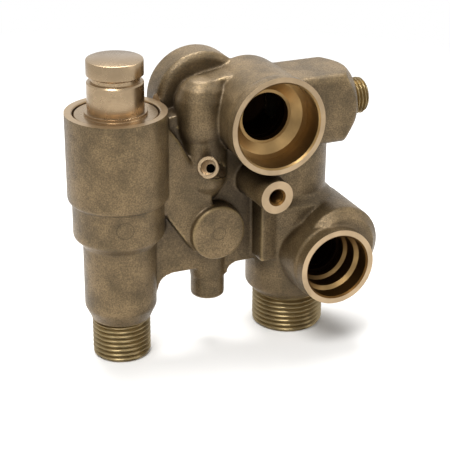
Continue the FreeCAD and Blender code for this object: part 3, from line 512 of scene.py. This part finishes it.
def cutting_tool():
    """One tool that machines every port, the gland's bore and the seats of the threaded ends."""
    own, codes = sizes(), hexes()
    rim, chamfer = gland_rim(), 0.35
    right, stub = mount_place("right_thread")[0], mount_place("side_stub")[0]
    cutters = bmesh.new()
    for port in ports():
        revolve(cutters, socket_profile(port), port.turn, port.spot, finishes=port.finishes)
    revolve(cutters, [
        (0, rim + 6), (18, rim + 6), (18, rim), (GLAND_BORE + chamfer, rim),
        (GLAND_BORE, rim - chamfer), (GLAND_BORE, rim - GLAND_LENGTH), (0, rim - GLAND_LENGTH)])
    for radius, root, x in ((18, own.left_root / MM, 0), (17.5, own.right_root / MM, right.x)):
        revolve(cutters, [(0, -3), (radius, -3), (radius, root), (0, root)], spot=(x, 0, 0))
    revolve(cutters, [(0, 0), (12, 0), (12, 12), (0, 12)], RIGHTWARD,
            (BRANCH_END * MM, stub.y, stub.z))
    # In the order of the tool's slots: pale faced brass, bores a duller gold as painted shade,
    # near-black waterways of oxide and painted shade, and bores browned by water and by painted
    # shade
    finishes = (("faced_brass", codes.turned_brass, 0.3), ("bored_brass", codes.bore_brass, 0.3),
                ("oxide_and_shade_brass", codes.deep_brass, 0.6),
                ("stain_and_shade_brass", codes.stain_and_shade_brass, 0.4))
    return new_piece("tool", cutters, [
        turned_brass(name, code, roughness=roughness) for name, code, roughness in finishes])


def machined_casting():
    """Copy the casting, fill its machined places, soften it as cast and machine it again."""
    own = sizes()
    casting = new_piece("casting", cast_metal(), [])
    remesh = casting.modifiers.new("remesh", "REMESH")
    remesh.mode = "VOXEL"
    remesh.voxel_size = own.voxel
    soften = casting.modifiers.new("soften", "SMOOTH")
    soften.factor = 0.5
    soften.iterations = own.casting_passes
    grow = casting.modifiers.new("grow", "DISPLACE")
    grow.mid_level = 0
    grow.strength = own.swell
    thin = casting.modifiers.new("thin", "DECIMATE")
    thin.ratio = own.keep
    bake(casting)
    casting.data.materials.clear()
    casting.data.materials.append(shot_blasted_cast_brass())

    tool = cutting_tool()
    cut = casting.modifiers.new("machine", "BOOLEAN")
    cut.operation = "DIFFERENCE"
    cut.object = tool
    cut.solver = "EXACT"
    cut.material_mode = "TRANSFER"
    bake(casting)
    bpy.data.objects.remove(tool)
    merged = bmesh.new()
    merged.from_mesh(casting.data)
    bmesh.ops.remove_doubles(merged, verts=merged.verts, dist=3e-6)
    bmesh.ops.dissolve_degenerate(merged, dist=1e-6, edges=merged.edges)
    merged.to_mesh(casting.data)
    merged.free()
    darken_waterways(casting)
    casting.data.shade_smooth()
    casting.data.set_sharp_from_angle(angle=math.radians(35))
    return casting


def darken_waterways(casting):
    """Give the cast walls beyond each machined socket the near-black finish of oxide and painted
    shade.
    """
    wall, overlap = 1.2, 1
    for port in ports():
        into = (Matrix.Translation(port.spot) @ port.turn).inverted()
        radius, depth = port.socket[-1]
        reach, start = (radius + wall) * MM, (depth - overlap) * MM
        for face in casting.data.polygons:
            inner, facing = into @ face.center, into.to_3x3() @ face.normal
            if (face.material_index == 0 and inner.xy.length < reach
                    and start < inner.z < start + port.way * MM and facing.z < 0.3
                    and facing.xy.dot(inner.xy) < 0.2 * reach):
                face.material_index = 1 + OXIDE_AND_SHADE


def thread(name, radius, length, pitch, bore, root, turn, spot, material):
    """A turned stub with a real helical thread, chamfered at its open end."""
    depth = 0.64 * pitch
    crest, flank = 0.14, 0.72      # shares of half a pitch
    runout = 0.6 * pitch
    lead = 1.25 * sizes().thread_lead / MM
    rings = math.ceil(length / (pitch / 10))
    shoulder = length + 0.8
    profile = [(bore, 0)] + [(radius, length * ring / rings) for ring in range(rings + 1)]
    profile += [(root, length), (root, shoulder), (bore, shoulder)]
    bm = bmesh.new()
    revolve(bm, profile, steps=120)
    for vertex in bm.verts:
        flat = Vector((vertex.co.x, vertex.co.y))
        height = vertex.co.z / MM
        if flat.length < (radius - 0.01) * MM:
            continue
        phase = height / pitch - math.atan2(vertex.co.y, vertex.co.x) / FULL_TURN
        wave = abs(2 * (phase % 1) - 1)
        rise = min(max((wave - crest) / flank, 0), 1)
        fade = min(max((length - height) / runout, 0), 1)
        reach = radius - depth * (1 - rise * fade)
        reach = min(reach, radius - max(lead - height, 0))
        vertex.co.x, vertex.co.y = flat * (reach * MM / flat.length)
    bmesh.ops.transform(bm, matrix=Matrix.Translation(spot) @ turn, verts=bm.verts)
    return new_piece(name, bm, [material], sharp=40)


# Operators


class DIVERTER_OT_casting(bpy.types.Operator):
    """Make the cast body with its machined faces and bores"""

    bl_idname = "diverter.casting"
    bl_label = "Casting"

    def execute(self, context):
        settle(machined_casting(), "housing", "cast_brass", "valve_body")
        return {"FINISHED"}


class DIVERTER_OT_threads(bpy.types.Operator):
    """Make the three threaded ends"""

    bl_idname = "diverter.threads"
    bl_label = "Threaded ends"

    def execute(self, context):
        own = sizes()
        left, left_radius = mount_place("left_thread")
        right, right_radius = mount_place("right_thread")
        stub, stub_radius = mount_place("side_stub")
        stub_end = (BRANCH_END + STUB_LENGTH) * MM
        # Name, radius, length, pitch, bore, radius of the casting's end, turn and open end
        rows = (
            ("left_leg_thread", left_radius, own.left_root, own.thread_pitch,
             mount_place("left_waterway")[1], 9.9, UP, (left.x, 0, 0)),
            ("right_leg_thread", right_radius, own.right_root, own.thread_pitch,
             mount_place("right_waterway")[1], 12.6, UP, (right.x, 0, 0)),
            ("side_stub_thread", stub_radius, STUB_LENGTH * MM, own.stub_pitch,
             3.6, 6.1, LEFTWARD, (stub_end, stub.y, stub.z)))
        for name, radius, length, pitch, bore, root, turn, spot in rows:
            # Cut brass, darker than faced brass: painted shade for the flanks that shade each other
            brass = turned_brass(name.replace("thread", "brass"), hexes().thread_brass, turn, spot,
                                 roughness=0.34)
            piece = thread(name, radius, length / MM, pitch / MM, bore, root, turn, spot, brass)
            settle(piece, "housing", "turned_brass")
        return {"FINISHED"}


class DIVERTER_OT_gland(bpy.types.Operator):
    """Make the gland with its closed, grooved neck"""

    bl_idname = "diverter.gland"
    bl_label = "Gland"

    def execute(self, context):
        own = sizes()
        low, high = (corner.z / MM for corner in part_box("gland"))
        rim, neck = gland_rim(), mount_place("sensor_neck")[1]
        edge = own.neck_edge / MM
        foot, top = own.groove_foot / MM, own.groove_top / MM
        deep = own.groove_radius / MM
        bm = bmesh.new()
        revolve(bm, [
            # Seat, the gap round the flange and its top
            (7.2, low), (14.98, low), (14.98, rim - 3.4), (14.5, rim - 3.4), (14.5, rim - 0.85),
            (14.25, rim - 0.6), (10.95, rim - 0.6), (10.9, rim - 0.5), (10.9, rim + 0.45),
            # Neck with its clip groove
            (10.8, rim + 0.5), (neck, rim + 0.5), (neck, foot - 0.5), (neck - 0.5, foot),
            (deep, foot), (deep, top - 0.9), (neck, top), (neck, high - edge),
            (neck - 0.3 * edge, high - 0.3 * edge), (neck - edge, high), (0, high),
            # Closed bore
            (0, high - 2.3), (6.2, high - 2.3), (6.2, low + 5), (7.2, low + 5)], steps=160)
        brass = turned_brass("turned_brass_gland", hexes().turned_brass, mark_mm=0.5, roughness=0.2)
        piece = new_piece("gland_turned", bm, [brass], sharp=25)
        settle(piece, "housing", "turned_brass", "gland")
        return {"FINISHED"}


class DIVERTER_OT_nipple(bpy.types.Operator):
    """Make the small sensing nipple"""

    bl_idname = "diverter.nipple"
    bl_label = "Sensing nipple"

    def execute(self, context):
        middle, radius = mount_place("sensing_line")
        way = Vector(MOUNTS["sensing_line"]["axis"])
        collar = MOUNTS["sensing_line"]["dims"]["length_mm"]
        mouth = middle + way * collar / 2 * MM
        turn = Vector((0, 0, 1)).rotation_difference(-way).to_matrix().to_4x4()
        bm = bmesh.new()
        revolve(bm, [
            (2.85, 0), (radius - 0.3, 0), (radius, 0.3), (radius, collar - 0.3),
            (radius - 0.3, collar), (3, collar), (3, 14.9), (1.6, 14.9), (1.6, 4.2), (2.6, 4.2),
            (2.6, 0.25)], turn, mouth, steps=72)
        brass = turned_brass("turned_brass_nipple", hexes().turned_brass, turn, mouth, 0.3)
        piece = new_piece("nipple_turned", bm, [brass], sharp=25)
        settle(piece, "housing", "turned_brass", "sensing_nipple")
        return {"FINISHED"}


class DIVERTER_OT_inner_parts(bpy.types.Operator):
    """Finish the seats, seals, spool and spring"""

    bl_idname = "diverter.inner_parts"
    bl_label = "Inner parts"

    def execute(self, context):
        codes = hexes()
        # Name, colour, metallic, roughness, and the grain and its relief in millimetres
        finishes = {
            # Compression-moulded rubber: black, with a soft sheen
            "seal_rubber": plain_finish("moulded_epdm", codes.rubber, 0, 0.6, 0.4, 0.02),
            # Injection-moulded acetal: off-white and waxy
            "guide_plastic": plain_finish("moulded_acetal", codes.acetal, 0, 0.4, 0.6, 0.01),
            # Drawn wire and stamped strip: bright, with faint draw marks
            "spring_steel": plain_finish("drawn_spring_steel", codes.steel, 1, 0.28, 0.5, 0.01),
            # Turned and pressed stainless steel: bright
            "stainless_steel": plain_finish("turned_stainless", codes.steel, 1, 0.22, 0.7, 0.01),
            # Pressed and fired ferrite: dark grey, with a fine tooth
            "magnet_ferrite": plain_finish("sintered_ferrite", codes.ferrite, 0, 0.5, 0.3, 0.02),
            # Turned brass inside the valve, and on the casting that the dressed one replaces
            "turned_brass": turned_brass("turned_brass_inner", codes.turned_brass),
            "cast_brass": turned_brass("turned_brass_hidden", codes.turned_brass),
        }
        for part in frame["record"]["subparts"]:
            mesh = frame["nodes"][part["node"]].data
            mesh.materials.clear()
            mesh.materials.append(finishes[part["material_slot"]])
        # In the valve the spring's lower end follows the spool and its upper end stays under the
        # neck's top; here it is made again from the construction model's coil, with doubled points
        # merged, on a mesh of its own
        coil = bmesh.new()
        coil.from_mesh(frame["nodes"]["return_spring"].data)
        bmesh.ops.remove_doubles(coil, verts=coil.verts, dist=2e-6)
        spring = new_piece("wound_spring", coil, [finishes["spring_steel"]])
        settle(spring, "housing", "spring_steel", "return_spring")
        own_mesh(spring)
        return {"FINISHED"}


class DIVERTER_OT_stage(bpy.types.Operator):
    """Set the floor, lights, world and camera"""

    bl_idname = "diverter.stage"
    bl_label = "Stage"

    def execute(self, context):
        scene = context.scene
        bm = bmesh.new()
        bmesh.ops.create_grid(bm, x_segments=1, y_segments=1, size=3.0)
        floor = new_piece("floor", bm, [matt_studio_floor()])
        studio_world(scene)
        centre = Vector((0.035, 0, 0.05))
        for name, spot, width, power in (
                ("key", (-0.3, -0.35, 0.9), 0.4, 7.5),
                ("fill", (0.75, -0.55, 0.45), 0.6, 1.5),
                ("top", (0.1, 0.25, 0.85), 0.5, 9.5)):
            lamp = bpy.data.lights.new(name, "AREA")
            lamp.size = width
            lamp.energy = power
            holder = bpy.data.objects.new(name, lamp)
            holder.location = spot
            holder.rotation_euler = (centre - Vector(spot)).to_track_quat("-Z", "Y").to_euler()
            scene.collection.objects.link(holder)
        lens = bpy.data.cameras.new("camera")
        lens.lens = 111.94
        lens.sensor_width = 36
        camera = bpy.data.objects.new("camera", lens)
        eye, target = Vector((-0.14589, -0.42738, 0.25048)), Vector((0.04076, 0, 0.04278))
        look = (target - eye).to_track_quat("-Z", "Y").to_matrix().to_4x4()
        roll = Matrix.Rotation(math.radians(0.35), 4, "Z")
        camera.matrix_world = Matrix.Translation(eye) @ look @ roll
        scene.collection.objects.link(camera)
        scene.camera = camera
        scene.view_settings.view_transform = "Standard"
        return {"FINISHED"}


class DIVERTER_PT_panel(bpy.types.Panel):
    """Lists the valve's pieces"""

    bl_label = "Diverter valve"
    bl_idname = "DIVERTER_PT_panel"
    bl_space_type = "VIEW_3D"
    bl_region_type = "UI"
    bl_category = "Valve"

    def draw(self, context):
        for operator in OPERATORS:
            self.layout.operator(operator.bl_idname)


OPERATORS = (DIVERTER_OT_inner_parts, DIVERTER_OT_casting, DIVERTER_OT_threads,
             DIVERTER_OT_gland, DIVERTER_OT_nipple, DIVERTER_OT_stage)
CLASSES = (DiverterSizes, DiverterColours, *OPERATORS, DIVERTER_PT_panel)


def register():
    for cls in CLASSES:
        bpy.utils.register_class(cls)
    bpy.types.Scene.diverter_sizes = bpy.props.PointerProperty(type=DiverterSizes)
    bpy.types.Scene.diverter_colours = bpy.props.PointerProperty(type=DiverterColours)


def unregister():
    del bpy.types.Scene.diverter_colours
    del bpy.types.Scene.diverter_sizes
    for cls in reversed(CLASSES):
        bpy.utils.unregister_class(cls)


def main():
    """Build every piece in order."""
    register()
    bpy.ops.diverter.inner_parts()
    bpy.ops.diverter.casting()
    bpy.ops.diverter.threads()
    bpy.ops.diverter.gland()
    bpy.ops.diverter.nipple()
    bpy.ops.diverter.stage()


if __name__ == "__main__":
    main()
